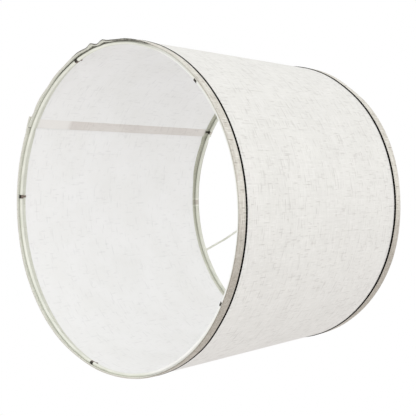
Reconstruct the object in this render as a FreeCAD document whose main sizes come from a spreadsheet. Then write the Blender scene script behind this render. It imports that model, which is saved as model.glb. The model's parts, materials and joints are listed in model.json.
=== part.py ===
"""Tapered drum lamp shade with a three-arm spider fitter, in millimetres.

A cloth cover laminated to a stiff plastic liner is rolled round two wire rings and closed by a
lapped, taped seam. Tape, piping and small metal clips finish both rims. The axis is +Z with the
spider at the top, the origin is the middle of the bottom rim, and the seam is at the back (+Y).
"""

import FreeCAD, Part
import math
import os
import re
import Sketcher

DIMENSIONS = [
    ("bottom_radius", 152.4, "outside of the cover at the bottom rim, a 12 inch shade"),
    ("top_radius", 139.7, "outside of the cover at the top rim, 11 inches"),
    ("height", 241.3, "rim to rim, 9.5 inches"),
    ("cover_thickness", 0.5, "linen cover"),
    ("liner_thickness", 0.35, "plastic liner glued behind the cover"),
    ("hem_thickness", 0.3, "tape folded round the edge of the laminate"),
    ("hem_width", 10.8, "how far that tape reaches inside the shade"),
    ("seam_tape_thickness", 0.4, "adhesive tape between the two ends of the laminate"),
    ("trim_thickness", 0.5, "woven tape outside each rim"),
    ("trim_width", 9.7, "from the rim to the piping"),
    ("piping_width", 2.0, "flat black cord along the trim"),
    ("piping_depth", 0.7, "how far the piping stands out from the cover"),
    ("inner_end_angle", 88.1, "where the laminate starts, in degrees from +X"),
    ("flap_end_angle", 92.0, "where the laminate ends, on top of its start"),
    ("ramp_angle", 84.1, "where the laminate begins to lift over its start"),
    ("wire_diameter", 3.2, "wire of both rings"),
    ("ring_depth", 4.7, "from a rim to the middle of its ring"),
    ("arm_diameter", 2.2, "wire of the spider"),
    ("arm_overhang", 1.0, "how far an arm runs past the middle of the ring"),
    ("arm_bend_place", 104.0, "from the axis to the bend in each arm"),
    ("arm_bend_radius", 60.0, "of the middle line of the bend"),
    ("arm_slope", 10.0, "how steeply each arm falls towards the washer, in degrees"),
    ("first_arm_angle", 33.3, "the other arms follow at equal steps"),
    ("arm_count", 3, "arms of the spider"),
    ("weld_radius", 2.1, "bead that joins an arm to the ring"),
    ("weld_inset", 0.9, "from the middle of the ring to the middle of the bead"),
    ("washer_radius", 12.7, "centre washer, one inch across"),
    ("washer_thickness", 3.0, "centre washer"),
    ("washer_bore_radius", 5.55, "clears the threaded stud of a harp, 7/16 inch"),
    ("washer_edge_radius", 0.5, "rounded edges of the washer"),
    ("clip_thickness", 0.4, "steel strap of a clip"),
    ("clip_width", 3.5, "along the ring"),
    ("clip_reach", 60.0, "angle from the outward side at which the strap's ends stop"),
    ("clip_tail_length", 4.5, "tail that runs from the ring into the shade, along the hem tape"),
    ("clip_tail_width", 2.0, "along the ring"),
    ("bottom_clip_angle_1", 61.0, "places of the clips on the bottom ring"),
    ("bottom_clip_angle_2", 124.5, ""),
    ("bottom_clip_angle_3", 189.9, ""),
    ("bottom_clip_angle_4", 267.6, ""),
    ("bottom_clip_angle_5", 343.0, ""),
    ("top_clip_angle_1", 90.7, "places of the clips on the top ring"),
    ("top_clip_angle_2", 210.7, ""),
    ("top_clip_angle_3", 330.7, ""),
]

UP = FreeCAD.Vector(0, 0, 1)
UPRIGHT = FreeCAD.Rotation(FreeCAD.Vector(1, 0, 0), 90)
FACING_X = FreeCAD.Rotation(FreeCAD.Vector(0, 1, 0), -90)
ORIGIN_POINT = (-1, 1)
START, END, CENTRE = 1, 2, 3

doc = FreeCAD.newDocument("lamp_shade")
sizes = doc.addObject("Spreadsheet::Sheet", "sizes")
for row, (alias, value, note) in enumerate(DIMENSIONS, start=1):
    sizes.set(f"A{row}", alias)
    sizes.set(f"B{row}", str(value))
    sizes.set(f"C{row}", note)
    sizes.setAlias(f"B{row}", alias)
doc.recompute()

# Lengths that follow from the driving ones, as formulas over the sheet's names.
DERIVED = {
    "taper": "(bottom_radius - top_radius) / height",
    "laminate_thickness": "cover_thickness + liner_thickness",
    "lap_lift": "laminate_thickness + seam_tape_thickness",
    "rim_stack": "laminate_thickness + hem_thickness",
    "wire_radius": "wire_diameter / 2",
    "arm_radius": "arm_diameter / 2",
    "ring_inset": "rim_stack + wire_radius * sqrt(1 + taper ^ 2)",
    "bottom_ring_radius": "bottom_radius - taper * ring_depth - ring_inset",
    "top_ring_radius": "top_radius + taper * ring_depth - ring_inset",
    "top_ring_level": "height - ring_depth",
    "arm_level": "top_ring_level + wire_radius + arm_radius",
    "arm_tip": "top_ring_radius + arm_overhang",
    "arm_inner_end": "washer_radius - arm_diameter",
    "bend_start": "arm_bend_place + arm_bend_radius * tan(arm_slope / 2 * 1deg)",
    "washer_level": "arm_level - tan(arm_slope * 1deg) * (arm_bend_place - washer_radius)",
    "piping_top": "trim_width + piping_width",
}
FUNCTIONS_AND_UNITS = ("tan", "cos", "sqrt", "deg")


def in_sheet(formula):
    """A formula over the names above as an expression on the sheet's cells."""
    def look_up(match):
        word = match[0]
        if word in FUNCTIONS_AND_UNITS:
            return word
        if word in DERIVED:
            return f"({in_sheet(DERIVED[word])})"
        return f"sizes.{word}"
    return re.sub(r"[a-z][a-z_0-9]*", look_up, formula)


def value_of(formula):
    """The same formula as a plain number."""
    return float(sizes.evalExpression(in_sheet(formula)))


def bind(sketch, name, constraint, formula):
    """Add a constraint to the sketch, name it, and bind it to the sheet."""
    index = sketch.addConstraint(constraint)
    sketch.renameConstraint(index, name)
    sketch.setExpression(f"Constraints.{name}", in_sheet(formula))


def pin(sketch, pairs):
    """Join the given (edge, point) pairs of the sketch."""
    for (edge_a, point_a), (edge_b, point_b) in pairs:
        sketch.addConstraint(Sketcher.Constraint("Coincident", edge_a, point_a, edge_b, point_b))


def polar(radius, degrees):
    """The point at that radius and angle in a sketch's own plane."""
    turn = math.radians(degrees)
    return FreeCAD.Vector(radius * math.cos(turn), radius * math.sin(turn), 0)


def arc(radius, first, last, centre=FreeCAD.Vector(0, 0, 0)):
    """An arc that runs anticlockwise between two angles in degrees."""
    circle = Part.Circle(centre, UP, radius)
    return Part.ArcOfCircle(circle, math.radians(first), math.radians(last))


def rolled_section(name, level, inner, outer, first_end):
    """The plan of a rolled strip: one turn, a ramp, and a lap that lies over the first end.

    level, inner and outer are formulas. inner and outer are measured outwards from the cover's
    outer face, and first_end is the alias of the angle where the strip starts.
    """
    face = f"bottom_radius - taper * ({level})"
    low, high = value_of(f"{face} + {inner}"), value_of(f"{face} + {outer}")
    lift = value_of("lap_lift")
    begin, ramp = value_of(first_end), value_of("ramp_angle")
    over, stop = value_of("inner_end_angle"), value_of("flap_end_angle")

    sketch = doc.addObject("Sketcher::SketchObject", name)
    sketch.addGeometry([
        arc(high, begin, ramp + 360),
        Part.LineSegment(polar(low, begin), polar(high, begin)),
        arc(low, begin, ramp + 360),
        Part.LineSegment(polar(low, ramp), polar(low + lift, over)),
        arc(low + lift, over, stop),
        Part.LineSegment(polar(low + lift, stop), polar(high + lift, stop)),
        arc(high + lift, over, stop),
        Part.LineSegment(polar(high + lift, over), polar(high, ramp)),
    ])
    outer_turn, first_edge, inner_turn, inner_ramp, inner_lap, last_edge, outer_lap, outer_ramp = range(8)
    ramp_foot = sketch.addGeometry(Part.LineSegment(polar(low, ramp), polar(high, ramp)), True)
    ramp_head = sketch.addGeometry(
        Part.LineSegment(polar(low + lift, over), polar(high + lift, over)), True)

    pin(sketch, [
        ((outer_turn, START), (first_edge, END)),
        ((first_edge, START), (inner_turn, START)),
        ((inner_turn, END), (inner_ramp, START)),
        ((inner_ramp, END), (inner_lap, START)),
        ((inner_lap, END), (last_edge, START)),
        ((last_edge, END), (outer_lap, END)),
        ((outer_lap, START), (outer_ramp, START)),
        ((outer_ramp, END), (outer_turn, END)),
        ((ramp_foot, START), (inner_turn, END)),
        ((ramp_foot, END), (outer_turn, END)),
        ((ramp_head, START), (inner_lap, START)),
        ((ramp_head, END), (outer_lap, START)),
    ])
    pin(sketch, [((edge, CENTRE), ORIGIN_POINT)
                 for edge in (outer_turn, inner_turn, inner_lap, outer_lap)])
    radial = [(first_edge, first_end, "first_edge"), (ramp_foot, "ramp_angle", "ramp_foot"),
              (ramp_head, "inner_end_angle", "ramp_head"), (last_edge, "flap_end_angle", "last_edge")]
    for edge, angle, label in radial:
        sketch.addConstraint(Sketcher.Constraint("PointOnObject", *ORIGIN_POINT, edge))
        turn = Sketcher.Constraint("Angle", edge, math.radians(value_of(angle)))
        bind(sketch, label, turn, angle)
    turns = [(outer_turn, high, f"{face} + {outer}", "outer_radius"),
             (inner_turn, low, f"{face} + {inner}", "inner_radius"),
             (inner_lap, low + lift, f"{face} + {inner} + lap_lift", "inner_lap_radius"),
             (outer_lap, high + lift, f"{face} + {outer} + lap_lift", "outer_lap_radius")]
    for edge, radius, formula, label in turns:
        bind(sketch, label, Sketcher.Constraint("Radius", edge, radius), formula)
    sketch.setExpression("Placement.Base.z", in_sheet(level))
    return sketch


def rolled_strip(name, inner, outer, bottom, top, first_end="inner_end_angle"):
    """A strip of sheet between two levels that follows the cone and the lapped seam."""
    strip = doc.addObject("Part::Loft", name)
    strip.Sections = [
        rolled_section(f"{name}_bottom_section", bottom, inner, outer, first_end),
        rolled_section(f"{name}_top_section", top, inner, outer, first_end),
    ]
    strip.Solid = True
    strip.Ruled = True
    return strip


def fabric_cover():
    """The linen skin, from edge tape to edge tape."""
    return rolled_strip("fabric_cover", "- cover_thickness", "0", "hem_thickness",
                        "height - hem_thickness")


def styrene_liner():
    """The stiff sheet behind the linen, which gives the shade its shape."""
    return rolled_strip("styrene_liner", "- laminate_thickness", "- cover_thickness",
                        "hem_thickness", "height - hem_thickness")


def trim_tape(end, bottom, top):
    """The woven tape outside a rim. It ends at the edge of the flap."""
    return rolled_strip(f"{end}_trim_tape", "0", "trim_thickness", bottom, top, "flap_end_angle")


def black_piping(end, bottom, top):
    """The thin black cord between the trim and the cover."""
    return rolled_strip(f"{end}_black_piping", "0", "piping_depth", bottom, top, "flap_end_angle")


def hem_tape(end, web, leg):
    """The tape folded round the laminate's edge: a web across the edge and a leg inside."""
    tape = doc.addObject("Part::MultiFuse", f"{end}_hem_tape")
    tape.Shapes = [
        rolled_strip(f"{end}_hem_web", "- rim_stack", "0", *web),
        rolled_strip(f"{end}_hem_leg", "- rim_stack", "- laminate_thickness", *leg),
    ]
    tape.Refine = True
    return tape


def cone_tool(name, offset):
    """A wedge of the cone as wide as the lap, for the seam tape."""
    cone = doc.addObject("Part::Cone", name)
    cone.setExpression("Radius1", in_sheet(f"bottom_radius - taper * hem_width + {offset}"))
    cone.setExpression("Radius2", in_sheet(f"top_radius + taper * hem_width + {offset}"))
    cone.setExpression("Height", in_sheet("height - 2 * hem_width"))
    cone.setExpression("Angle", in_sheet("flap_end_angle - inner_end_angle"))
    cone.Placement = FreeCAD.Placement(FreeCAD.Vector(0, 0, 0), FreeCAD.Rotation(UP, 1))
    cone.setExpression("Placement.Base.z", in_sheet("hem_width"))
    cone.setExpression("Placement.Rotation.Angle", in_sheet("inner_end_angle"))
    return cone


def seam_adhesive_tape():
    """The tape that holds the flap down, between the two hem tapes."""
    tape = doc.addObject("Part::Cut", "seam_adhesive_tape")
    tape.Base = cone_tool("seam_outer_cone", "seam_tape_thickness")
    tape.Tool = cone_tool("seam_inner_cone", "0")
    return tape


def ring(name, radius, level):
    """A hoop of round wire."""
    hoop = doc.addObject("Part::Torus", name)
    hoop.setExpression("Radius1", in_sheet(radius))
    hoop.setExpression("Radius2", in_sheet("wire_radius"))
    hoop.setExpression("Placement.Base.z", in_sheet(level))
    return hoop


def arm_path(name):
    """The middle line of an arm: level from the ring, one bend, then down to the washer."""
    level, tip, slope = value_of("arm_level"), value_of("arm_tip"), value_of("arm_slope")
    bend_radius = value_of("arm_bend_radius")
    bend_start = FreeCAD.Vector(value_of("bend_start"), level, 0)
    centre = bend_start - FreeCAD.Vector(0, bend_radius, 0)
    bend_end = centre + polar(bend_radius, 90 + slope)
    fall_run = bend_end.x - value_of("arm_inner_end")
    inner_end = bend_end - FreeCAD.Vector(fall_run, fall_run * math.tan(math.radians(slope)), 0)

    path = doc.addObject("Sketcher::SketchObject", name)
    path.Placement = FreeCAD.Placement(FreeCAD.Vector(0, 0, 0), UPRIGHT)
    path.addGeometry([
        Part.LineSegment(FreeCAD.Vector(tip, level, 0), bend_start),
        arc(bend_radius, 90, 90 + slope, centre),
        Part.LineSegment(bend_end, inner_end),
    ])
    run, bend, fall = range(3)
    constraint = Sketcher.Constraint
    path.addConstraint([
        constraint("Tangent", run, END, bend, START),
        constraint("Tangent", bend, END, fall, START),
        constraint("Horizontal", run),
    ])
    bind(path, "bend_radius", constraint("Radius", bend, bend_radius), "arm_bend_radius")
    bind(path, "level", constraint("DistanceY", *ORIGIN_POINT, run, START, level), "arm_level")
    bind(path, "tip", constraint("DistanceX", *ORIGIN_POINT, run, START, tip), "arm_tip")
    bind(path, "bend_place", constraint("DistanceX", *ORIGIN_POINT, run, END, bend_start.x), "bend_start")
    bind(path, "inner_end", constraint("DistanceX", *ORIGIN_POINT, fall, END, inner_end.x), "arm_inner_end")
    bind(path, "slope", constraint("Angle", fall, math.radians(slope - 180)), "arm_slope - 180")
    return path


def spider_arm(number):
    """An arm of painted wire, welded to the top of the ring and to the washer's edge."""
    name = f"spider_arm_{number}"
    section = doc.addObject("Part::Circle", f"{name}_section")
    section.setExpression("Radius", in_sheet("arm_radius"))
    section.Placement = FreeCAD.Placement(FreeCAD.Vector(0, 0, 0), FACING_X)
    section.setExpression("Placement.Base.x", in_sheet("arm_tip"))
    section.setExpression("Placement.Base.z", in_sheet("arm_level"))
    wire = doc.addObject("Part::Sweep", f"{name}_wire")
    wire.Sections = [section]
    wire.Spine = (arm_path(f"{name}_path"), ["Edge1", "Edge2", "Edge3"])
    wire.Solid = True

    bead = doc.addObject("Part::Sphere", f"{name}_bead")
    bead.setExpression("Radius", in_sheet("weld_radius"))
    bead.setExpression("Placement.Base.x", in_sheet("top_ring_radius - weld_inset"))
    bead.setExpression("Placement.Base.z", in_sheet("top_ring_level + wire_radius"))
    welded = doc.addObject("Part::MultiFuse", f"{name}_with_bead")
    welded.Shapes = [wire, bead]

    washer_space = doc.addObject("Part::Cylinder", f"{name}_washer_space")
    washer_space.setExpression("Radius", in_sheet("washer_radius"))
    washer_space.setExpression("Height", in_sheet("height"))
    keep_out = doc.addObject("Part::MultiFuse", f"{name}_keep_out")
    keep_out.Shapes = [ring(f"{name}_ring_space", "top_ring_radius", "top_ring_level"), washer_space]

    arm = doc.addObject("Part::Cut", name)
    arm.Base = welded
    arm.Tool = keep_out
    turn_about_axis(arm, f"first_arm_angle + {number - 1} * 360 / arm_count")
    return arm


def turn_about_axis(item, angle):
    """Turn a sub-part made on the XZ plane to its angle about the shade's axis."""
    item.Placement = FreeCAD.Placement(FreeCAD.Vector(0, 0, 0), FreeCAD.Rotation(UP, 1))
    item.setExpression("Placement.Rotation.Angle", in_sheet(angle))


def plane(body, role):
    """One of the body's own origin planes."""
    return next(item for item in body.Origin.OriginFeatures if item.Role == role)


def body_sketch(body, name, role):
    """A sketch on an origin plane of the body."""
    sketch = body.newObject("Sketcher::SketchObject", name)
    sketch.AttachmentSupport = [(plane(body, role), "")]
    sketch.MapMode = "FlatFace"
    return sketch


def fitter_washer():
    """The disc that sits on the harp, with rounded edges and a bore for the harp's stud."""
    body = doc.addObject("PartDesign::Body", "fitter_washer")
    section = body_sketch(body, "washer_section", "XZ_Plane")
    bore, rim = value_of("washer_bore_radius"), value_of("washer_radius")
    low = value_of("washer_level - washer_thickness / 2")
    high = value_of("washer_level + washer_thickness / 2")
    corners = [(bore, low), (rim, low), (rim, high), (bore, high)]
    points = [FreeCAD.Vector(x, y, 0) for x, y in corners]
    sides = [Part.LineSegment(points[i], points[(i + 1) % 4]) for i in range(4)]
    section.addGeometry(sides)
    underside, edge, top, wall = range(4)
    pin(section, [((side, END), ((side + 1) % 4, START)) for side in range(4)])
    constraint = Sketcher.Constraint
    section.addConstraint([constraint("Horizontal", underside), constraint("Horizontal", top),
                           constraint("Vertical", edge), constraint("Vertical", wall)])
    bind(section, "bore", constraint("DistanceX", *ORIGIN_POINT, underside, START, bore),
         "washer_bore_radius")
    bind(section, "rim", constraint("DistanceX", *ORIGIN_POINT, underside, END, rim), "washer_radius")
    bind(section, "low", constraint("DistanceY", *ORIGIN_POINT, underside, START, low),
         "washer_level - washer_thickness / 2")
    bind(section, "high", constraint("DistanceY", *ORIGIN_POINT, top, START, high),
         "washer_level + washer_thickness / 2")
    disc = body.newObject("PartDesign::Revolution", "washer_disc")
    disc.Profile = section
    disc.ReferenceAxis = (section, ["V_Axis"])
    doc.recompute()
    rounding = body.newObject("PartDesign::Fillet", "washer_edges")
    rounding.Base = (disc, [f"Edge{i}" for i, line in enumerate(disc.Shape.Edges, start=1)
                            if isinstance(line.Curve, Part.Circle)])
    rounding.setExpression("Radius", in_sheet("washer_edge_radius"))
    return body


def ring_clip(name, radius, level, tail_level, angle):
    """A steel strap bent round the ring, open towards the liner, with a tail along the hem tape."""
    body = doc.addObject("PartDesign::Body", name)
    constraint = Sketcher.Constraint
    inner = value_of("wire_radius")
    outer = value_of("wire_radius + clip_thickness")
    reach = value_of("clip_reach")
    centre = FreeCAD.Vector(value_of(radius), value_of(level), 0)

    strap = body_sketch(body, f"{name}_strap_section", "XZ_Plane")
    lower_inside, lower_outside = centre + polar(inner, -reach), centre + polar(outer, -reach)
    upper_inside, upper_outside = centre + polar(inner, reach), centre + polar(outer, reach)
    strap.addGeometry([
        arc(outer, reach, 360 - reach, centre),
        Part.LineSegment(lower_inside, lower_outside),
        arc(inner, reach, 360 - reach, centre),
        Part.LineSegment(upper_inside, upper_outside),
    ])
    back, lower_end, bore, upper_end = range(4)
    pin(strap, [((back, END), (lower_end, END)), ((lower_end, START), (bore, END)),
                ((bore, START), (upper_end, START)), ((upper_end, END), (back, START)),
                ((back, CENTRE), (bore, CENTRE))])
    strap.addConstraint([constraint("PointOnObject", back, CENTRE, lower_end),
                         constraint("PointOnObject", back, CENTRE, upper_end)])
    bind(strap, "lower_angle", constraint("Angle", lower_end, math.radians(-reach)), "0 - clip_reach")
    bind(strap, "upper_angle", constraint("Angle", upper_end, math.radians(reach)), "clip_reach")
    bind(strap, "bore", constraint("Radius", bore, inner), "wire_radius")
    bind(strap, "back", constraint("Radius", back, outer), "wire_radius + clip_thickness")
    bind(strap, "place", constraint("DistanceX", *ORIGIN_POINT, back, CENTRE, centre.x), radius)
    bind(strap, "level", constraint("DistanceY", *ORIGIN_POINT, back, CENTRE, centre.y), level)
    bent = body.newObject("PartDesign::Pad", f"{name}_strap")
    bent.Profile = strap
    bent.Midplane = True
    bent.setExpression("Length", in_sheet("clip_width"))

    tail = body.newObject("PartDesign::AdditiveBox", f"{name}_tail")
    tail.setExpression("Length", in_sheet("clip_thickness"))
    tail.setExpression("Width", in_sheet("clip_tail_width"))
    tail.setExpression("Height", in_sheet("clip_tail_length"))
    strap_end = "(wire_radius + clip_thickness) * cos(clip_reach * 1deg)"
    corner = {"x": f"{radius} + {strap_end} - clip_thickness", "y": "0 - clip_tail_width / 2", "z": tail_level}
    for axis, formula in corner.items():
        tail.setExpression(f"Placement.Base.{axis}", in_sheet(formula))
    turn_about_axis(body, angle)
    return body


def all_nodes():
    """Every sub-part of the shade."""
    nodes = [fabric_cover(), styrene_liner(), seam_adhesive_tape()]
    nodes.append(ring("bottom_wire_ring", "bottom_ring_radius", "ring_depth"))
    nodes.append(ring("top_wire_ring", "top_ring_radius", "top_ring_level"))
    nodes.append(fitter_washer())
    for number in range(1, int(value_of("arm_count")) + 1):
        nodes.append(spider_arm(number))

    nodes.append(trim_tape("bottom", "hem_thickness", "trim_width"))
    nodes.append(trim_tape("top", "height - trim_width", "height - hem_thickness"))
    nodes.append(black_piping("bottom", "trim_width", "piping_top"))
    nodes.append(black_piping("top", "height - piping_top", "height - trim_width"))
    nodes.append(hem_tape("bottom", ("0", "hem_thickness"), ("hem_thickness", "hem_width")))
    nodes.append(hem_tape("top", ("height - hem_thickness", "height"),
                          ("height - hem_width", "height - hem_thickness")))

    clip_levels = {
        "bottom": ("ring_depth", "ring_depth + wire_radius"),
        "top": ("top_ring_level", "top_ring_level - wire_radius - clip_tail_length"),
    }
    for end, (level, tail_level) in clip_levels.items():
        angles = [alias for alias, _, _ in DIMENSIONS if alias.startswith(f"{end}_clip_angle")]
        for number, angle in enumerate(angles, start=1):
            name = f"{end}_ring_clip_{number}"
            nodes.append(ring_clip(name, f"{end}_ring_radius", level, tail_level, angle))
    return nodes


def check_and_export(nodes):
    """Stop on any failed object or bad shape, then write each sub-part to its own file."""
    doc.recompute()
    for item in doc.Objects:
        if "Invalid" in item.State or "Error" in item.State:
            raise RuntimeError(f"{item.Name} failed: {item.State}")
    os.makedirs("parts", exist_ok=True)
    for node in nodes:
        if node.Shape.isNull() or not node.Shape.isValid():
            raise RuntimeError(f"{node.Label} has no valid shape")
        print(f"{node.Label}: {len(node.Shape.Solids)} solid, {node.Shape.Volume:.1f} mm3")
    for node in nodes:
        node.Shape.exportStep(f"parts/{node.Label}.step")


check_and_export(all_nodes())
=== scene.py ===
"""The looks of a tapered linen lamp shade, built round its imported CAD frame.

The shade stands upright in its own frame, and the camera looks up into its open bottom. Every
layer of cloth is a section swept along one rolled path, which lifts over its own start at the
back to make the lapped seam.
"""

import json
import math

import bmesh
import bpy
import numpy as np
from mathutils import Matrix, Vector


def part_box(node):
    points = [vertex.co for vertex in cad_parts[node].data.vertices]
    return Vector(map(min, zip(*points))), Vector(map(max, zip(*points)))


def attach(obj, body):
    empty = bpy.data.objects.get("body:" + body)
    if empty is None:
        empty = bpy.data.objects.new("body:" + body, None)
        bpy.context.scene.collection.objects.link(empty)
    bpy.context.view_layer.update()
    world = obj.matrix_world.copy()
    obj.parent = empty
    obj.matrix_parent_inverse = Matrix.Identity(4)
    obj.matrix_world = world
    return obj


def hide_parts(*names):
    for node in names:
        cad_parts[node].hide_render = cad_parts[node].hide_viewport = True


MM = 0.001

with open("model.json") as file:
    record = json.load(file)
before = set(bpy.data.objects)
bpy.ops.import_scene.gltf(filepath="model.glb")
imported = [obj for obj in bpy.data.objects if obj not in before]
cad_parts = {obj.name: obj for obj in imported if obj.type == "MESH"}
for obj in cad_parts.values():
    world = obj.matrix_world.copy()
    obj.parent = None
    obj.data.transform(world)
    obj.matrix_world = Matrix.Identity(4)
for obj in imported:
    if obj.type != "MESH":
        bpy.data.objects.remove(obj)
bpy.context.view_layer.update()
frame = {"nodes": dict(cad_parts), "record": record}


# --- Sizes read from the frame ---------------------------------------------------------------

cover_low, cover_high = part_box("fabric_cover")
liner_low, liner_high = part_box("styrene_liner")
seam_low, seam_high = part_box("seam_adhesive_tape")
_, hem_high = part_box("bottom_hem_tape")
_, top_hem_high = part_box("top_hem_tape")
_, trim_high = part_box("bottom_trim_tape")
piping_low, piping_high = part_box("bottom_black_piping")
ring_low, ring_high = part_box("bottom_wire_ring")
top_ring_low, top_ring_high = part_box("top_wire_ring")

HEIGHT = top_hem_high.z
RING_LEVEL = (ring_low.z + ring_high.z) / 2
TOP_RING_LEVEL = (top_ring_low.z + top_ring_high.z) / 2
TAPER = (ring_high.x - top_ring_high.x) / (TOP_RING_LEVEL - RING_LEVEL)
BASE_RADIUS = cover_high.x + TAPER * cover_low.z
RIM_STACK = BASE_RADIUS - TAPER * RING_LEVEL - ring_high.x
HEM_THICKNESS = cover_low.z
HEM_WIDTH = hem_high.z
LAMINATE = RIM_STACK - HEM_THICKNESS
COVER_THICKNESS = cover_high.x - liner_high.x
TRIM_THICKNESS = trim_high.x - cover_high.x
TRIM_WIDTH = trim_high.z
PIPING_DEPTH = piping_high.x - (BASE_RADIUS - TAPER * piping_low.z)
PIPING_WIDTH = piping_high.z - piping_low.z
LAP_LIFT = cover_high.y - cover_high.x

# Angles round the axis in degrees from +X. The sheet is rolled anticlockwise from its inner end.
INNER_END = 90 - math.degrees(math.asin(seam_high.x / seam_high.y))
FLAP_END = 90 - math.degrees(math.asin(seam_low.x / seam_high.y))
LAST_ANGLE = FLAP_END + 360
# The sheet lifts over its start within this angle.
RAMP_TURN = 4.0


# --- The rolled path -------------------------------------------------------------------------

# How far the sheet strays from a true cone: all over, and more at the two free lips.
BODY_RIPPLE = 0.16 * MM
LIP_RIPPLE = 0.15 * MM
# The bottom lip leans to one side of the rings, and the flap's corner has sprung off the seam.
LIP_LEAN = 1.0 * MM
LEAN_ANGLE = 230.0
FLAP_PEEL = 2.0 * MM
PEEL_TURN = 6.0
# Each row of the tables below is a soft bump: its angle and its width in degrees, and mm.
# Where the bottom lip is pushed out (above 0) or pinched in.
LIP_DENTS = (
    (285.0, 16.0, 1.1),
    (328.0, 14.0, -1.6),
    (348.0, 12.0, -1.5),
    (52.0, 14.0, -1.2),
    (66.0, 10.0, -0.6),
    (84.0, 2.0, 0.3),
    (94.6, 1.2, -0.6),
    (99.5, 3.5, 0.6),
    (107.0, 3.5, -0.8),
    (118.0, 3.0, -0.5),
    (127.5, 4.0, 1.2),
    (135.0, 1.6, 2.4),
    (138.4, 1.1, -0.6),
    (141.4, 1.6, 1.8),
    (148.5, 3.0, -0.6),
    (165.0, 7.0, -1.0),
)
# Two stretches of the top lip lean inwards.
TOP_LIP_DENTS = ((182.0, 9.0, -1.3), (235.0, 20.0, -1.6))
# Where the hand-laid trim and cord stray away from the rim.
TRIM_WANDER = (
    (200.0, 24.0, 0.45),
    (245.0, 15.0, -0.3),
    (268.0, 8.0, 0.5),
    (287.0, 9.0, 2.4),
    (300.0, 8.0, 1.4),
)
TOP_TRIM_WANDER = (
    (181.0, 9.0, 1.5),
    (222.0, 14.0, 0.8),
    (250.0, 18.0, 1.1),
    (280.0, 14.0, 0.9),
)
# The unevenness is a sum of waves: how many in one turn, size, and slant over the height.
RIPPLE_WAVES = ((3, 0.9, 11), (5, 0.6, -17), (8, 0.5, 23), (13, 0.35, 9), (21, 0.25, -31))


def smooth(share):
    """Eases from 0 to 1 as share goes from 0 to 1."""
    share = np.clip(share, 0, 1)
    return share * share * (3 - 2 * share)


def ripple(turn, level, seed):
    """A soft unevenness from -1 to 1 over the angle in radians and the level in metres."""
    total = sum(size * np.sin(count * turn + slant * level + seed * count * 1.7)
                for count, size, slant in RIPPLE_WAVES)
    return total / sum(size for _, size, _ in RIPPLE_WAVES)


def bumps(degrees, table):
    """The sum of the soft bumps in a table, in metres."""
    total = np.zeros_like(degrees)
    for place, width, height in table:
        away = (degrees - place + 180) % 360 - 180
        total = total + height * MM * np.exp(-(away / width) ** 2)
    return total


def lip_share(level):
    """1 at either rim, falling to 0 at the wire rings, which hold the sheet round."""
    below = np.clip((RING_LEVEL - level) / RING_LEVEL, 0, 1)
    above = np.clip((level - TOP_RING_LEVEL) / (HEIGHT - TOP_RING_LEVEL), 0, 1)
    return below, above


def unevenness(degrees, level):
    """How far the hand-rolled sheet stands off a true cone, in metres."""
    turn = np.radians(degrees)
    between = np.clip((level - RING_LEVEL) / (TOP_RING_LEVEL - RING_LEVEL), 0, 1)
    body = BODY_RIPPLE * ripple(turn, level, 1) * np.sin(math.pi * between)
    below, above = lip_share(level)
    peel = FLAP_PEEL * smooth((degrees - LAST_ANGLE + PEEL_TURN) / PEEL_TURN)
    lean = LIP_LEAN * np.cos(np.radians(degrees - LEAN_ANGLE))
    lip = LIP_RIPPLE * ripple(turn, level, 2) + bumps(degrees, LIP_DENTS) + peel + lean
    top_lip = LIP_RIPPLE * ripple(turn, level, 3) + bumps(degrees, TOP_LIP_DENTS)
    return body + below * lip + above * top_lip


def lift(degrees):
    """How far the sheet is raised at an angle, counted on from INNER_END, to pass over its start."""
    return LAP_LIFT * smooth((degrees - INNER_END - 360 + RAMP_TURN) / RAMP_TURN)


def on_shade(degrees, offset, level):
    """Points at an offset outwards from the cover's outer face."""
    radius = BASE_RADIUS - TAPER * level + offset + lift(degrees) + unevenness(degrees, level)
    turn = np.radians(degrees)
    level = level + 0 * turn
    return np.stack([radius * np.cos(turn), radius * np.sin(turn), level], axis=-1)


def lay_out(mesh, length, height):
    """The UV map "cloth": metres along the path and round the loop, for all faces but the caps."""
    u = np.stack([length[:-1], length[1:], length[1:], length[:-1]], axis=-1)[:, None, :]
    v = np.stack([height[:-1], height[:-1], height[1:], height[1:]], axis=-1)[None, :, :]
    u, v = np.broadcast_arrays(u, v)
    layer = mesh.uv_layers.new(name="cloth")
    flat = np.zeros((len(mesh.loops), 2))
    flat[: u.size] = np.stack([u.ravel(), v.ravel()], axis=-1)
    layer.data.foreach_set("uv", flat.ravel())


def turn_outwards(mesh):
    """Make every face look outwards."""
    work = bmesh.new()
    work.from_mesh(mesh)
    bmesh.ops.recalc_face_normals(work, faces=work.faces)
    work.to_mesh(mesh)
    work.free()


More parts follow.
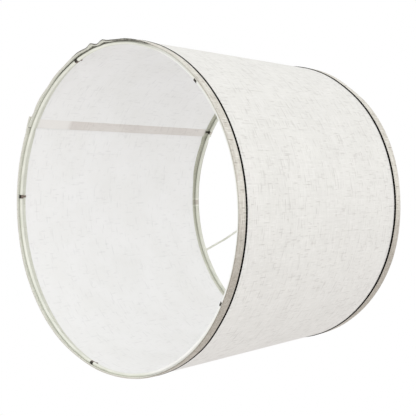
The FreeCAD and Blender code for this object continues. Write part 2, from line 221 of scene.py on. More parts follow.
def swept(name, section, first, step, sharp=35):
    """A closed mesh along the rolled path, from the angle first anticlockwise to the flap's end.

    section(degrees) gives the offsets and levels of a loop of points, as arrays with one row
    per angle. Step is an angle in degrees, and so is sharp, the least turn of a sharp edge.
    """
    count = round((LAST_ANGLE - first) / step) + 1
    degrees = np.linspace(first, LAST_ANGLE, count)[:, None]
    offsets, levels = section(degrees)
    points = on_shade(degrees, offsets, levels)
    loop = points.shape[1]
    mesh = bpy.data.meshes.new(name)
    along = np.arange(count - 1)[:, None] * loop
    around = np.arange(loop)[None, :]
    after = (around + 1) % loop
    quads = np.stack([along + around, along + loop + around, along + loop + after, along + after], axis=-1)
    quads = quads.reshape(-1, 4)
    caps = [list(range(loop)), list(range((count - 1) * loop, count * loop))[::-1]]
    mesh.from_pydata(points.reshape(-1, 3).tolist(), [], quads.tolist() + caps)

    middle = np.concatenate([offsets[:1], levels[:1]])
    steps = np.hypot(*(np.roll(middle, -1, axis=1) - middle))
    height = np.concatenate([[0], np.cumsum(steps)])
    length = np.radians(degrees[:, 0] - first) * BASE_RADIUS
    lay_out(mesh, length, height)
    turn_outwards(mesh)
    mesh.shade_smooth()
    mesh.set_sharp_from_angle(angle=math.radians(sharp))
    piece = bpy.data.objects.new(name, mesh)
    bpy.context.scene.collection.objects.link(piece)
    return piece


def finish_piece(piece, material, slot, *nodes):
    """Dress a piece and tie it to the frame."""
    piece.data.materials.append(material)
    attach(piece, "root")
    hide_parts(*nodes)


# --- Sections of the layers ------------------------------------------------------------------

def upright(low, high, rows, inner, outer):
    """The section of a thin sheet on the cone: up its outer face and down its inner face."""
    levels = np.linspace(low, high, rows)
    loop = [(outer, level) for level in levels] + [(inner, level) for level in levels[::-1]]
    offset, level = np.array(loop).T
    return lambda degrees: (offset + 0 * degrees, level + 0 * degrees)


# The trim tape's loop, from under the rim: each point has its offset and its level in
# thicknesses of the tape, and the share of the tape's width that is added to the level.
TRIM_LOOP = (
    (-1.1, 0.04, 0), (-0.5, 0, 0), (0.1, 0.04, 0), (0.55, 0.22, 0), (0.85, 0.6, 0), (1, 1.3, 0),
    (1, 0, 0.22), (1.02, 0, 0.35), (1.04, 0, 0.5), (1.02, 0, 0.65), (1, 0, 0.8), (0.92, 0, 0.93),
    (0.7, 0, 0.98), (0.35, 0, 1), (-0.04, 0, 1), (-0.04, 0.6, 0), (-0.3, 0.3, 0), (-1.1, 0.26, 0),
)


# How much the trim's crown swells and sinks, and how uneven its hidden edge is.
TRIM_SWELL = 0.12
TRIM_UNEVEN = 0.1 * MM


def trim_section(degrees, wander):
    """A slightly crowned woven tape, turned under the rim, whose width follows the table wander."""
    rise, near, across = np.array(TRIM_LOOP).T
    turn = np.radians(degrees)
    swell = 1 + TRIM_SWELL * ripple(3 * turn, 0, 7) * across * (1 - across) * 4
    uneven = TRIM_UNEVEN * ripple(2 * turn, 0, 5) * (rise < -1)
    width = TRIM_WIDTH + bumps(degrees, wander)
    return TRIM_THICKNESS * rise * swell + uneven, TRIM_THICKNESS * near + width * across


# The cord: points round its section, the length in which its two plies change places, how far
# they stand out, and how much taller than its CAD solid its loose fibres make it on each rim.
CORD_POINTS = 16
CORD_TWIST = 3.0 * MM
PLY_SWELL = 0.07
CORD_FLUFF = 1.08
TOP_CORD_FLUFF = 1.4


def piping_section(degrees, wander, fluff):
    """A two-ply cord that lies on the cover against the trim's edge and follows the same table."""
    corner = 2 * math.pi * np.arange(CORD_POINTS) / CORD_POINTS
    twist = np.radians(degrees) * BASE_RADIUS / CORD_TWIST * math.pi
    ply = 1 + PLY_SWELL * np.cos(2 * (corner - twist))
    middle = PIPING_DEPTH / 2
    offset = middle + ply * middle * np.cos(corner)
    level = (piping_low.z + piping_high.z) / 2 + ply * fluff * PIPING_WIDTH / 2 * np.sin(corner)
    return offset, level + bumps(degrees, wander)


# The top hem is cut this much narrower, except near its two ends.
TOP_HEM_TRIMMING = 1.7 * MM
TRIMMED_FROM, TRIMMED_TO, TRIMMING_EASE = 104, 432, 8
# How much a hem's free edge waves, and how far it stands off the sheet where nothing holds it.
HEM_WAVE = 0.25 * MM
HEM_PUFF = 0.09 * MM


def top_hem_trimming(degrees):
    """How much narrower the top hem is at an angle."""
    rise = smooth((degrees - TRIMMED_FROM) / TRIMMING_EASE)
    fall = smooth((TRIMMED_TO - degrees) / TRIMMING_EASE)
    return TOP_HEM_TRIMMING * rise * fall


def hem_section(degrees, trimming=0.0):
    """The tape folded over the laminate's edge: under the edge, up the inside, down the back."""
    inner, back = -RIM_STACK, -LAMINATE
    turn = np.radians(degrees)
    top = HEM_WIDTH + HEM_WAVE * ripple(turn, 0, 11) - trimming
    puff = HEM_PUFF * (1 + ripple(4 * turn, 0, 13))
    t = HEM_THICKNESS
    under_the_edge = [
        (-0.1 * t, t), (-0.4 * t, 0.6 * t), (-1.5 * t, 0.5 * t), (-2.0 * t, 0.15 * t), (-2.6 * t, 0),
        (inner + 0.8 * t - 0.3 * puff, 0.05 * t), (inner + 0.3 * t - 0.6 * puff, 0.25 * t),
    ]
    up_the_inside = [
        (inner - puff, 0.8 * t), (inner - puff, 1.6 * t), (inner - 0.6 * puff, RING_LEVEL * 0.45),
        (inner, RING_LEVEL * 0.8), (inner, RING_LEVEL * 1.25), (inner - puff, RING_LEVEL * 1.7),
        (inner - 0.8 * puff, top - 2 * t), (inner, top - 0.6 * t), (inner + 0.3 * t, top - 0.1 * t),
    ]
    down_the_back = [(back - 0.1 * t, top), (back, top - 0.5 * t), (back, RING_LEVEL), (back, t)]
    loop = under_the_edge + up_the_inside + down_the_back
    offset = np.concatenate([0 * degrees + point[0] for point in loop], axis=1)
    level = np.concatenate([0 * degrees + point[1] for point in loop], axis=1)
    return offset, level


def at_top(section):
    """The same section turned over for the top rim."""
    def turned(degrees):
        offset, level = section(degrees)
        return offset, HEIGHT - level
    return turned


# --- Materials -------------------------------------------------------------------------------

def rgb(red, green, blue):
    """A colour given as it looks on screen, 0 to 255, as linear values."""
    def linear(value):
        value /= 255
        return value / 12.92 if value <= 0.04045 else ((value + 0.055) / 1.055) ** 2.4
    return (linear(red), linear(green), linear(blue), 1.0)


class Shader:
    """A material under construction, with short calls for the nodes that this script uses."""

    def __init__(self, name):
        self.material = bpy.data.materials.new(name)
        self.material.use_nodes = True
        self.tree = self.material.node_tree
        self.tree.nodes.clear()

    def node(self, kind, inputs, **settings):
        made = self.tree.nodes.new("ShaderNode" + kind)
        for key, value in settings.items():
            setattr(made, key, value)
        for socket, value in inputs.items():
            if isinstance(value, bpy.types.NodeSocket):
                self.tree.links.new(value, made.inputs[socket])
            else:
                made.inputs[socket].default_value = value
        return made

    def math(self, operation, first, second=0.0):
        return self.node("Math", {0: first, 1: second}, operation=operation).outputs[0]

    def join(self, x, y, z=0.0):
        return self.node("CombineXYZ", {0: x, 1: y, 2: z}).outputs[0]

    def noise(self, vector, scale, detail=2.0, roughness=0.5):
        made = self.node("TexNoise", {"Vector": vector, "Scale": scale, "Detail": detail,
                                      "Roughness": roughness})
        return made.outputs[0]

    def spread(self, value, low, high, to_low=0.0, to_high=1.0):
        """Eases from to_low to to_high as the value goes from low to high."""
        made = self.node("MapRange", {0: value, 1: low, 2: high, 3: to_low, 4: to_high},
                         interpolation_type="SMOOTHSTEP")
        return made.outputs[0]

    def mix(self, factor, first, second):
        return self.node("Mix", {0: factor, 6: first, 7: second}, data_type="RGBA").outputs[2]

    def cloth(self):
        """Metres along and across the cloth."""
        place = self.node("UVMap", {}, uv_map="cloth")
        split = self.node("SeparateXYZ", {0: place.outputs[0]})
        return split.outputs[0], split.outputs[1]

    def position(self):
        """The point in the row's frame, in metres."""
        return self.node("TexCoord", {}).outputs["Object"]

    def distance(self, place):
        """How far a point lies from the frame's origin."""
        return self.node("VectorMath", {0: place}, operation="LENGTH").outputs["Value"]

    def reach(self, place, angle):
        """How far a point lies from the axis along an angle in degrees."""
        turn = math.radians(angle)
        way = (math.cos(turn), math.sin(turn), 0)
        return self.node("VectorMath", {0: place, 1: way}, operation="DOT_PRODUCT").outputs["Value"]

    def bump(self, height, distance):
        return self.node("Bump", {"Height": height, "Distance": distance, "Strength": 1.0}).outputs[0]

    def finish(self, **sockets):
        """The finished material. Each keyword is a socket of the Principled BSDF."""
        names = {key.replace("_", " ").title(): value for key, value in sockets.items()}
        names = {key.replace("Ior", "IOR"): value for key, value in names.items()}
        surface = self.node("BsdfPrincipled", names)
        output = self.node("OutputMaterial", {"Surface": surface.outputs[0]})
        output.is_active_output = True
        return self.material


# Lengths of a slub in the weft and in the warp, and of a gentler change of tone along a thread.
WEFT_SLUB = 12 * MM
WARP_SLUB = 10 * MM
TONE_RUN = 40 * MM
# The plastic shows the linen's slubs at this spacing.
LINER_SLUBS = 1.7 * MM
# Far enough in the noise that two neighbouring threads have nothing in common.
THREAD_JUMP = 7.31


def thread_run(shader, along, across, pitch, length, seed):
    """Noise that runs along each thread of a cloth and starts anew on the next thread."""
    number = shader.math("FLOOR", shader.math("DIVIDE", across, pitch))
    place = shader.join(shader.math("DIVIDE", along, length),
                        shader.math("MULTIPLY", number, THREAD_JUMP), seed)
    return shader.noise(place, 1.0, 1.0)


def soft_sides(shader, across, pitch):
    """1 in the middle of each thread, falling to 0 at its sides."""
    phase = shader.math("FRACT", shader.math("DIVIDE", across, pitch))
    return shader.math("SINE", shader.math("MULTIPLY", phase, math.pi))


def weave(shader, along, across, pitch):
    """The height of a plain weave, where warp and weft pass over each other in turn."""
    def ridge(value):
        return shader.math("ABSOLUTE", shader.math("SINE", shader.math("MULTIPLY", value, math.pi / pitch)))
    column = shader.math("FLOOR", shader.math("DIVIDE", along, pitch))
    row = shader.math("FLOOR", shader.math("DIVIDE", across, pitch))
    over = shader.math("MODULO", shader.math("ABSOLUTE", shader.math("ADD", column, row)), 2.0)
    under = shader.math("SUBTRACT", 1.0, over)
    warp = shader.math("MULTIPLY", ridge(along), over)
    weft = shader.math("MULTIPLY", ridge(across), under)
    return shader.math("ADD", warp, weft)


def slub_tones(shader, along, across, pitch, ground, dark, light, depth):
    """Long soft slubs both ways over a ground colour: some threads darker and some lighter."""
    weft = thread_run(shader, along, across, pitch, WEFT_SLUB, 11.0)
    warp = thread_run(shader, across, along, pitch, WARP_SLUB, 17.0)
    sides = [soft_sides(shader, across, pitch), soft_sides(shader, along, pitch)]
    colour = ground
    raised = []
    for run, side in zip((weft, warp), sides):
        thick = shader.math("MULTIPLY", shader.spread(run, 0.55, 0.78), side)
        thin = shader.math("MULTIPLY", shader.spread(run, 0.45, 0.25), side)
        colour = shader.mix(shader.math("MULTIPLY", thick, depth), colour, dark)
        colour = shader.mix(shader.math("MULTIPLY", thin, depth), colour, light)
        raised.append(thick)
    return colour, shader.math("MAXIMUM", *raised)


def band(shader, value, low, high, soft):
    """1 between low and high and 0 outside, with soft edges."""
    rise = shader.spread(value, low - soft, low + soft)
    fall = shader.spread(value, high - soft, high + soft, 1.0, 0.0)
    return shader.math("MULTIPLY", rise, fall)


def run_of(first, start, stop, soft):
    """The stretch between two angles of a strip that starts at the angle first, in metres."""
    low, high = (math.radians(angle - first) * BASE_RADIUS for angle in (start, stop))
    return low, high, soft


def marked(shader, colour, marks):
    """The colour with flecked patches of other colours over it.

    Each mark is a colour, a strength, its range across the cloth and, unless it runs the whole
    way, its range along it. A range is low, high and softness in metres.
    """
    along, across = shader.cloth()
    fleck = shader.spread(shader.noise(shader.join(along, across), 700.0, 2.0), 0.35, 0.65, 0.55, 1.0)
    for tint, strength, over, *run in marks:
        share = shader.math("MULTIPLY", band(shader, across, *over), strength)
        share = shader.math("MULTIPLY", share, fleck)
        for length in run:
            share = shader.math("MULTIPLY", share, band(shader, along, *length))
        colour = shader.mix(share, colour, tint)
    return colour


def linen(name, pale, thread, dark, light, pitch, slub_depth, bump_height, marks=()):
    """Slubbed linen: pale plain weave, toned thread by thread, with soft slubs both ways."""
    shader = Shader(name)
    along, across = shader.cloth()
    cloud = shader.noise(shader.join(along, across), 28.0, 3.0)
    weft_tone = thread_run(shader, along, across, pitch, TONE_RUN, 3.0)
    warp_tone = thread_run(shader, across, along, pitch, TONE_RUN, 5.0)
    tone = shader.math("MULTIPLY", shader.math("ADD", weft_tone, warp_tone), 0.35)
    tone = shader.math("ADD", tone, shader.math("MULTIPLY", cloud, 0.3))
    ground = shader.mix(shader.spread(tone, 0.36, 0.64), pale, thread)
    colour, raised = slub_tones(shader, along, across, 2.4 * pitch, ground, dark, light, slub_depth)
    colour = marked(shader, colour, marks)
    cloth_height = shader.math("ADD", weave(shader, along, across, pitch), raised)
    normal = shader.bump(cloth_height, bump_height)
    return shader.finish(base_color=colour, roughness=0.9, normal=normal, sheen_weight=0.15,
                         sheen_roughness=0.6, specular_ior_level=0.2)


def liner_plastic(name, pale, shade, thread, thread_depth, fades=()):
    """The white plastic sheet, with the linen behind it showing faintly through.

    Each fade is a range of levels where it shows another colour: colour, low, high and soft.
    """
    shader = Shader(name)
    along, across = shader.cloth()
    place = shader.join(along, across)
    cloud = shader.noise(place, 22.0, 4.0, 0.6)
    ground = shader.mix(shader.spread(cloud, 0.3, 0.7), pale, shade)
    colour, _ = slub_tones(shader, along, across, LINER_SLUBS, ground, thread, pale, thread_depth)
    for tint, low, high, soft in fades:
        level = shader.node("SeparateXYZ", {0: shader.position()}).outputs[2]
        colour = shader.mix(band(shader, level, low, high, soft), colour, tint)
    grain = shader.noise(place, 900.0, 2.0)
    normal = shader.bump(grain, 0.03 * MM)
    return shader.finish(base_color=colour, roughness=0.55, normal=normal, specular_ior_level=0.3)


def black_thread():
    """Black cotton cord with a little lint."""
    shader = Shader("black_thread")
    along, across = shader.cloth()
    fibres = shader.noise(shader.join(shader.math("MULTIPLY", along, 900.0),
                                      shader.math("MULTIPLY", across, 4000.0)), 1.0, 3.0)
    colour = shader.mix(shader.spread(fibres, 0.5, 0.85), rgb(5, 5, 4), rgb(26, 24, 21))
    return shader.finish(base_color=colour, roughness=0.9, normal=shader.bump(fibres, 0.05 * MM),
                         specular_ior_level=0.05)


def weld_sleeve(shader, place, colour, angle):
    """A short dull sleeve round the ring at the angle of a weld, with a pale line at each end."""
    outward = shader.reach(place, angle)
    along = shader.reach(place, angle + 90)
    away = shader.math("ADD", shader.math("ABSOLUTE", along), shader.math("LESS_THAN", outward, 0.0))
    line = band(shader, away, 3.0 * MM, 4.0 * MM, 0.3 * MM)
    colour = shader.mix(line, colour, rgb(240, 240, 232))
    sleeve = shader.math("MULTIPLY", shader.spread(away, 2.2 * MM, 3.0 * MM, 1.0, 0.0), 0.45)
    return shader.mix(sleeve, colour, rgb(172, 156, 146))


def powder_coat(name, pale, shade, weld=None, lit_towards=None):
    """Cream powder coat with a fine orange peel.

    It can have a sleeve at the angle weld, and painted light that whitens the side towards a given angle.
    """
    shader = Shader(name)
    place = shader.position()
    mottle = shader.noise(place, 60.0, 3.0)
    peel = shader.noise(place, 1400.0, 2.0)
    colour = shader.mix(shader.spread(mottle, 0.3, 0.7), pale, shade)
    if weld is not None:
        colour = weld_sleeve(shader, place, colour, weld)
    # Painted light: whiter on the side towards the given angle.
    if lit_towards is not None:
        share = shader.spread(shader.reach(place, lit_towards), 30 * MM, 60 * MM)
        colour = shader.mix(share, colour, rgb(236, 236, 233))
    roughness = shader.spread(mottle, 0.2, 0.8, 0.3, 0.42)
    return shader.finish(base_color=colour, roughness=roughness, normal=shader.bump(peel, 0.04 * MM))


def clip_steel(name, pale, low, high, inner):
    """Thin steel, pale over the wire from wear and a painted reflection, and dark where it grips, as
    painted shade.

    It grips, painted dark, between two levels, and further out from the axis than the radius inner.
    """
    shader = Shader(name)
    place = shader.position()
    x, y, level = shader.node("SeparateXYZ", {0: place}).outputs
    radius = shader.distance(shader.join(x, y))
    shaded_grip = shader.math("MULTIPLY", band(shader, level, low, high, 0.3 * MM),
                       shader.spread(radius, inner - 0.4 * MM, inner + 0.4 * MM))
    wear = shader.noise(place, 500.0, 4.0, 0.7)
    worn_and_reflected = shader.mix(shader.spread(wear, 0.35, 0.7), pale, rgb(124, 110, 100))
    colour = shader.mix(shaded_grip, worn_and_reflected, rgb(44, 39, 31))
    roughness = shader.spread(wear, 0.3, 0.8, 0.5, 0.3)
    scratches = shader.noise(place, 2500.0, 3.0)
    return shader.finish(base_color=colour, metallic=0.3, roughness=roughness,
                         normal=shader.bump(scratches, 0.02 * MM))


def clear_tape():
    """The edge of a milky adhesive tape."""
    shader = Shader("clear_tape")
    place = shader.position()
    streaks = shader.noise(place, 300.0, 2.0)
    colour = shader.mix(streaks, rgb(214, 206, 198), rgb(196, 186, 176))
    return shader.finish(base_color=colour, roughness=0.4, normal=shader.bump(streaks, 0.02 * MM))


LINEN_PITCH = 0.55 * MM
HEM_PITCH = 0.4 * MM
# Where the top ring is welded.
WELD_ANGLE = 56.4

# Ranges across a tape: all of it, its turned edge, and where a hem lies in the wire's shadow.
ALL_ACROSS = (-MM, 20 * MM, MM)
TURNED_EDGE = (-0.5 * MM, 0.5 * MM, 0.15 * MM)
WIRE_SHADOW = (RIM_STACK + 3.3 * MM, RIM_STACK + 5.4 * MM, 0.45 * MM)

# The trim is browner along one stretch. Its turned edge under the rim is darker, partly wear and
# partly painted shade, with a painted shadow where it puckers.
TRIM_MARKS = (
    (rgb(144, 132, 117), 0.7, ALL_ACROSS, run_of(FLAP_END, 246, 302, 52 * MM)),
    (rgb(104, 96, 84), 0.8, TURNED_EDGE, run_of(FLAP_END, 236, 312, 20 * MM)),
    (rgb(136, 132, 124), 0.6, TURNED_EDGE, run_of(FLAP_END, 168, 236, 10 * MM)),
    (rgb(158, 153, 142), 0.35, (-0.5 * MM, 1.0 * MM, 0.25 * MM)),
    (rgb(52, 50, 38), 1.0, (-0.5 * MM, 1.9 * MM, 0.3 * MM), run_of(FLAP_END, 125, 166, 6 * MM)),
)

# A hem's cut end, where its threads are frayed, painted dark also as the shadow in the seam's step.
FRAYED_AND_SHADED_END = (rgb(96, 94, 82), 0.85, (-MM, 4.5 * MM, 0.4 * MM), (-MM, 0.8 * MM, 0.25 * MM))
# The bottom hem has painted shade along the wire and a painted shadow where it gapes, darkest on the
# puckered lip; painted light on one side, with painted shade on its edge under the rim; a frayed end.
BOTTOM_HEM_MARKS = (
    (rgb(120, 120, 104), 0.45, (RIM_STACK + 3.5 * MM, RIM_STACK + 5.6 * MM, 0.45 * MM)),
    (rgb(60, 57, 34), 1.0, (RIM_STACK + 2.2 * MM, RIM_STACK + 5.6 * MM, 0.5 * MM),
     run_of(INNER_END, 112, 168, 16 * MM)),
    (rgb(66, 64, 46), 1.0, (0.3 * MM, RIM_STACK + 3.0 * MM, 0.4 * MM),
     run_of(INNER_END, 147, 164, 6 * MM)),
    (rgb(238, 238, 232), 1.0, (0.9 * MM, RIM_STACK + 11.0 * MM, 0.2 * MM),
     run_of(INNER_END, 236, 312, 30 * MM)),
    (rgb(120, 112, 98), 1.0, (-MM, 0.9 * MM, 0.2 * MM), run_of(INNER_END, 240, 312, 20 * MM)),
    (rgb(58, 56, 42), 1.0, (-MM, 0.9 * MM, 0.1 * MM), run_of(INNER_END, 125, 150, 8 * MM)),
    FRAYED_AND_SHADED_END,
)
# The top hem is painted darker as shade towards both its ends, with the wire's painted shadow there,
# has the print of the weld's sleeve with a pale line on each side, and is frayed.
HEM_IN_PAINTED_SHADE = rgb(176, 177, 160)
SHADOWED_HEM = rgb(76, 76, 54)
PALE_LINE = rgb(232, 232, 222)
ON_THE_WELD = WELD_ANGLE + 360
TOP_HEM_MARKS = (
    (HEM_IN_PAINTED_SHADE, 1.0, ALL_ACROSS, run_of(INNER_END, 405, 480, 60 * MM)),
    (HEM_IN_PAINTED_SHADE, 1.0, ALL_ACROSS, run_of(INNER_END, 60, 108, 30 * MM)),
    (SHADOWED_HEM, 0.95, WIRE_SHADOW, run_of(INNER_END, 408, 480, 40 * MM)),
    (SHADOWED_HEM, 0.95, WIRE_SHADOW, run_of(INNER_END, 60, 108, 30 * MM)),
    (rgb(150, 142, 130), 0.35, ALL_ACROSS,
     run_of(INNER_END, ON_THE_WELD - 1.1, ON_THE_WELD + 1.1, 0.4 * MM)),
    (PALE_LINE, 0.45, ALL_ACROSS, run_of(INNER_END, ON_THE_WELD - 1.8, ON_THE_WELD - 1.3, 0.3 * MM)),
    (PALE_LINE, 0.45, ALL_ACROSS, run_of(INNER_END, ON_THE_WELD + 1.3, ON_THE_WELD + 1.8, 0.3 * MM)),
    FRAYED_AND_SHADED_END,
)

black_cotton = black_thread()
cover_linen = linen("cover_linen", rgb(235, 234, 230), rgb(228, 227, 223), rgb(192, 189, 184),
                    rgb(243, 242, 239), LINEN_PITCH, 0.6, 0.1 * MM)
trim_linen = linen("trim_linen", rgb(233, 230, 221), rgb(208, 203, 192), rgb(160, 152, 140),
                   rgb(245, 243, 236), LINEN_PITCH, 0.85, 0.14 * MM, TRIM_MARKS)
hem_linen = linen("hem_linen", rgb(226, 227, 216), rgb(217, 218, 206), rgb(188, 188, 174),
                  rgb(234, 235, 226), HEM_PITCH, 0.5, 0.08 * MM, BOTTOM_HEM_MARKS)
top_hem_linen = linen("top_hem_linen", rgb(226, 227, 214), rgb(216, 217, 203), rgb(188, 188, 174),
                      rgb(234, 235, 226), HEM_PITCH, 0.5, 0.08 * MM, TOP_HEM_MARKS)
single_liner = liner_plastic("single_liner", rgb(243, 243, 243), rgb(239, 239, 238),
                             rgb(204, 204, 205), 0.3)
# Where the sheet lies double it is painted darker, as painted shade for the light that the second
# layer holds back, but less so near the bottom rim.
PALER_BELOW = (rgb(236, 234, 231), 0.0, 48 * MM, 3 * MM)
double_liner = liner_plastic("double_liner", rgb(225, 221, 217), rgb(218, 213, 209),
                             rgb(194, 189, 185), 0.4, [PALER_BELOW])


# --- The pieces ------------------------------------------------------------------------------

# Rows of points up the two wide sheets, and the steps in degrees of the sheets and the tapes.
SHEET_ROWS = 61
SHEET_STEP = 0.75
TAPE_STEP = 0.5
# How many steps the cord takes while its plies change places.
STEPS_PER_TWIST = 7
# Folded tape and cord are round, so only a turn above these angles counts as a sharp edge.
TAPE_SHARP = 60
CORD_SHARP = 80


def cover():
    """The linen skin. Its flat shape is a curved strip, the cone unrolled."""
    section = upright(cover_low.z, cover_high.z, SHEET_ROWS, -COVER_THICKNESS, 0.0)
    piece = swept("linen_cover", section, INNER_END, SHEET_STEP)
    finish_piece(piece, cover_linen, "cover_linen", "fabric_cover")


def liner():
    """The plastic sheet inside. Where it lies double at the seam, it is painted darker as shade."""
    section = upright(liner_low.z, liner_high.z, SHEET_ROWS, -LAMINATE, -COVER_THICKNESS)
    piece = swept("liner_sheet", section, INNER_END, SHEET_STEP)
    finish_piece(piece, single_liner, "liner", "styrene_liner")
    piece.data.materials.append(double_liner)
    for face in piece.data.polygons:
        x, y, _ = face.center
        angle = math.degrees(math.atan2(y, x))
        if INNER_END < angle < FLAP_END:
            face.material_index = 1


def rim_cloth(end, turned, wander, fluff, hem_shape, hem_cloth):
    """The tape, cord and hem of one rim. turned(section) sets a section on that rim."""
    trim_shape = turned(lambda degrees: trim_section(degrees, wander))
    trim = swept(f"{end}_trim", trim_shape, FLAP_END, TAPE_STEP, TAPE_SHARP)
    finish_piece(trim, trim_linen, "trim_linen", f"{end}_trim_tape")
    cord_step = math.degrees(CORD_TWIST / STEPS_PER_TWIST / BASE_RADIUS)
    cord_shape = turned(lambda degrees: piping_section(degrees, wander, fluff))
    cord = swept(f"{end}_cord", cord_shape, FLAP_END, cord_step, CORD_SHARP)
    finish_piece(cord, black_cotton, "black_piping", f"{end}_black_piping")
    hem = swept(f"{end}_hem", turned(hem_shape), INNER_END, TAPE_STEP, TAPE_SHARP)
    finish_piece(hem, hem_cloth, "hem_tape", f"{end}_hem_tape")


cover()
liner()
rim_cloth("bottom", lambda section: section, TRIM_WANDER, CORD_FLUFF, hem_section, hem_linen)
rim_cloth("top", at_top, TOP_TRIM_WANDER, TOP_CORD_FLUFF,
          lambda degrees: hem_section(degrees, top_hem_trimming(degrees)), top_hem_linen)

# Each CAD node's slot, which decides the look of the nodes that stay.
slots = {part["node"]: part["material_slot"] for part in frame["record"]["subparts"]}
CREAM = (rgb(230, 231, 221), rgb(220, 222, 210))
# The top ring's cream, painted a little darker as shade deep inside the lamp shade.
SHADED_CREAM = (rgb(226, 227, 216), rgb(215, 217, 204))
# The lower ring is painted whiter towards this angle, as painted light.
LIT_SIDE_ANGLE = 240
# A clip is painted dark as shade where it grips: between two levels, and further from the axis than
# a radius.
BOTTOM_CLIP_SHADE = (-MM, RING_LEVEL + 0.9 * MM, ring_high.x - 3.2 * MM)
TOP_CLIP_SHADE = (TOP_RING_LEVEL - 9 * MM, TOP_RING_LEVEL - 1.6 * MM, 100 * MM)

pale_coat = powder_coat("powder_coat", *CREAM)
lower_ring_coat = powder_coat("lower_ring_coat", *CREAM, lit_towards=LIT_SIDE_ANGLE)
# The top ring, painted darker as shade, with its weld's sleeve.
shaded_top_coat = powder_coat("shaded_top_coat", *SHADED_CREAM, weld=WELD_ANGLE)
# A clip's pale tone stands in part for a painted reflection of the white studio.
bottom_clip = clip_steel("bottom_clip_steel", rgb(126, 114, 106), *BOTTOM_CLIP_SHADE)
top_clip = clip_steel("top_clip_steel", rgb(205, 202, 190), *TOP_CLIP_SHADE)
seam_tape = clear_tape()


def dress(node):
    """The material of a CAD node that stays."""
    if slots[node] == "clip_steel":
        return bottom_clip if node.startswith("bottom") else top_clip
    if slots[node] == "painted_wire":
        return {"top_wire_ring": shaded_top_coat, "bottom_wire_ring": lower_ring_coat}.get(node, pale_coat)
    return seam_tape


for node, thing in frame["nodes"].items():
    if slots[node] in ("clip_steel", "painted_wire", "seam_tape"):
        thing.data.materials.clear()
        thing.data.materials.append(dress(node))


# --- Floor, light and camera -----------------------------------------------------------------

FLOOR_HALF = 3.0
# Just under the rim, so that the two don't touch.
FLOOR_LEVEL = -0.05 * MM
# The floor fades out between these two distances from the shade.
FADE_START, FADE_END = 0.4, 2.8


def floor():
    """A pale floor that fades into the white studio, and is clear from below, where the camera is."""
    mesh = bpy.data.meshes.new("floor")
    corners = [(-1, -1), (1, -1), (1, 1), (-1, 1)]
    mesh.from_pydata([(x * FLOOR_HALF, y * FLOOR_HALF, FLOOR_LEVEL) for x, y in corners], [],
                     [(0, 1, 2, 3)])
    piece = bpy.data.objects.new("floor", mesh)
    bpy.context.scene.collection.objects.link(piece)
    shader = Shader("pale_floor")
    grain = shader.noise(shader.position(), 40.0, 3.0)
    colour = shader.mix(grain, rgb(236, 236, 234), rgb(230, 230, 228))
    pale = shader.node("BsdfDiffuse", {"Color": colour})
    clear = shader.node("BsdfTransparent", {})
    back = shader.node("NewGeometry", {}).outputs["Backfacing"]
    away = shader.distance(shader.position())
    share = shader.math("MAXIMUM", back, shader.spread(away, FADE_START, FADE_END))
    both = shader.node("MixShader", {0: share, 1: pale.outputs[0], 2: clear.outputs[0]})
    shader.node("OutputMaterial", {"Surface": both.outputs[0]})
    mesh.materials.append(shader.material)
    for ray in ("diffuse", "glossy", "transmission", "volume_scatter", "shadow"):
        setattr(piece, "visible_" + ray, False)


# The way back from the shade to the camera, where the camera stands in metres, and its up.
TO_CAMERA = Vector((-0.4131, -0.5757, -0.7056))
CAMERA_PLACE = Vector((-0.4567, -0.6404, -0.6656))
CAMERA_UP = Vector((-0.8301, 0.5567, 0.0317))
LENS_MM = 98.9


def view():
    """The camera, which looks up into the open bottom of the shade."""
    data = bpy.data.cameras.new("camera")
    data.sensor_width = 36.0
    data.lens = LENS_MM
    data.clip_start = 0.01
    camera = bpy.data.objects.new("camera", data)
    bpy.context.scene.collection.objects.link(camera)
    right = (-TO_CAMERA).cross(CAMERA_UP).normalized()
    upward = TO_CAMERA.normalized().cross(right)
    turn = Matrix((right, upward, TO_CAMERA.normalized())).transposed()
    camera.matrix_world = Matrix.Translation(CAMERA_PLACE) @ turn.to_4x4()
    bpy.context.scene.camera = camera


# The studio's light, and its tint on the side of the camera's up and on the other side.
STUDIO_LIGHT = 1.09
BRIGHT_SIDE = (0.995, 0.995, 0.99, 1)
WARM_SIDE = (0.84, 0.81, 0.805, 1)


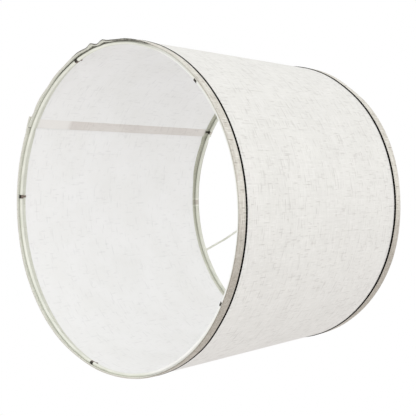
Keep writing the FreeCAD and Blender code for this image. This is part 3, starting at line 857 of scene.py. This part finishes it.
def surroundings():
    """A white studio: white to the eye, and a little dimmer and warmer from one side."""
    world = bpy.data.worlds.new("studio")
    bpy.context.scene.world = world
    world.use_nodes = True
    tree = world.node_tree
    tree.nodes.clear()
    place = tree.nodes.new("ShaderNodeTexCoord")
    side = tree.nodes.new("ShaderNodeVectorMath")
    side.operation = "DOT_PRODUCT"
    side.inputs[1].default_value = -CAMERA_UP
    tree.links.new(place.outputs["Generated"], side.inputs[0])
    share = tree.nodes.new("ShaderNodeMapRange")
    share.inputs[1].default_value = -0.2
    share.inputs[2].default_value = 1.0
    tree.links.new(side.outputs["Value"], share.inputs[0])
    tint = tree.nodes.new("ShaderNodeMix")
    tint.data_type = "RGBA"
    tint.inputs[6].default_value = BRIGHT_SIDE
    tint.inputs[7].default_value = WARM_SIDE
    tree.links.new(share.outputs[0], tint.inputs[0])
    light = tree.nodes.new("ShaderNodeBackground")
    light.inputs["Strength"].default_value = STUDIO_LIGHT
    tree.links.new(tint.outputs[2], light.inputs["Color"])
    white = tree.nodes.new("ShaderNodeBackground")
    white.inputs["Color"].default_value = (1, 1, 1, 1)
    rays = tree.nodes.new("ShaderNodeLightPath")
    seen = tree.nodes.new("ShaderNodeMixShader")
    tree.links.new(rays.outputs["Is Camera Ray"], seen.inputs[0])
    tree.links.new(light.outputs[0], seen.inputs[1])
    tree.links.new(white.outputs[0], seen.inputs[2])
    output = tree.nodes.new("ShaderNodeOutputWorld")
    tree.links.new(seen.outputs[0], output.inputs["Surface"])


def soft_box(name, place, size, watts):
    """A square lamp that faces the middle of the shade."""
    lamp = bpy.data.lights.new(name, "AREA")
    lamp.energy = watts
    lamp.size = size
    piece = bpy.data.objects.new(name, lamp)
    bpy.context.scene.collection.objects.link(piece)
    piece.location = place
    towards = Vector((0, 0, HEIGHT / 2)) - place
    piece.rotation_euler = towards.to_track_quat("-Z", "Y").to_euler()


floor()
view()
surroundings()
# One broad lamp, behind the camera and on the side of its up.
KEY_PLACE = TO_CAMERA * 1.6 + CAMERA_UP * 0.5
soft_box("key", KEY_PLACE, size=0.9, watts=4.0)

bpy.context.scene.view_settings.view_transform = "Standard"
